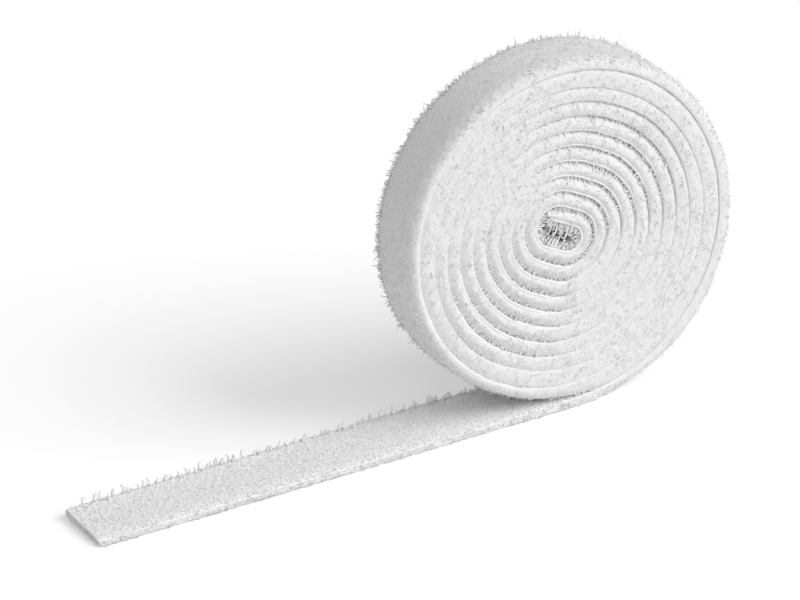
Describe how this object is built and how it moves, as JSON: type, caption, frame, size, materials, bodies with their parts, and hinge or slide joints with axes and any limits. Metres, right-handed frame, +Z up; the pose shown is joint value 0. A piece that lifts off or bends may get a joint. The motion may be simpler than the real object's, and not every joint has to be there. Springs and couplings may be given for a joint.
{
  "type": "hook and loop tape roll",
  "caption": "Narrow white back-to-back hook and loop tape wound in a spiral roll on its edge, loops outside and hooks inside, with a flat free end that curls back round the roll.",
  "frame": {"origin": "middle of the underside, on the surface that the roll and its free end rest on", "axes": "+X from the free end towards the roll, +Y along the roll's axis, +Z up"},
  "size_m": [0.1012, 0.01, 0.0522],
  "materials": {
    "loop_fabric": "soft brushed knitted loops, matt white",
    "bond_film": "thin adhesive coat, milky",
    "hook_film": "moulded film with stiff hooks, satin white"
  },
  "bodies": {
    "winding": {"winding_loop_strip": "loop_fabric", "winding_bond_film": "bond_film", "winding_hook_strip": "hook_film"},
    "tail_1": {"tail_1_loop_strip": "loop_fabric", "tail_1_bond_film": "bond_film", "tail_1_hook_strip": "hook_film"},
    "tail_2": {"tail_2_loop_strip": "loop_fabric", "tail_2_bond_film": "bond_film", "tail_2_hook_strip": "hook_film"},
    "tail_3": {"tail_3_loop_strip": "loop_fabric", "tail_3_bond_film": "bond_film", "tail_3_hook_strip": "hook_film"},
    "tail_4": {"tail_4_loop_strip": "loop_fabric", "tail_4_bond_film": "bond_film", "tail_4_hook_strip": "hook_film"}
  },
  "joints": [
    {"name": "tail_bend_1", "type": "hinge", "parent": "winding", "child": "tail_1", "pos_m": [0.01643, 0, 0.00095], "axis": [0, 1, 0], "range_deg": [0, 33]},
    {"name": "tail_bend_2", "type": "hinge", "parent": "tail_1", "child": "tail_2", "pos_m": [-0.00032, 0, 0.00095], "axis": [0, 1, 0], "range_deg": [0, 33]},
    {"name": "tail_bend_3", "type": "hinge", "parent": "tail_2", "child": "tail_3", "pos_m": [-0.01707, 0, 0.00095], "axis": [0, 1, 0], "range_deg": [0, 33]},
    {"name": "tail_bend_4", "type": "hinge", "parent": "tail_3", "child": "tail_4", "pos_m": [-0.03382, 0, 0.00095], "axis": [0, 1, 0], "range_deg": [0, 33]}
  ],
  "couplings": [
    {"joint": "tail_bend_2", "follows": "tail_bend_1", "ratio": 1},
    {"joint": "tail_bend_3", "follows": "tail_bend_1", "ratio": 1},
    {"joint": "tail_bend_4", "follows": "tail_bend_1", "ratio": 1}
  ]
}
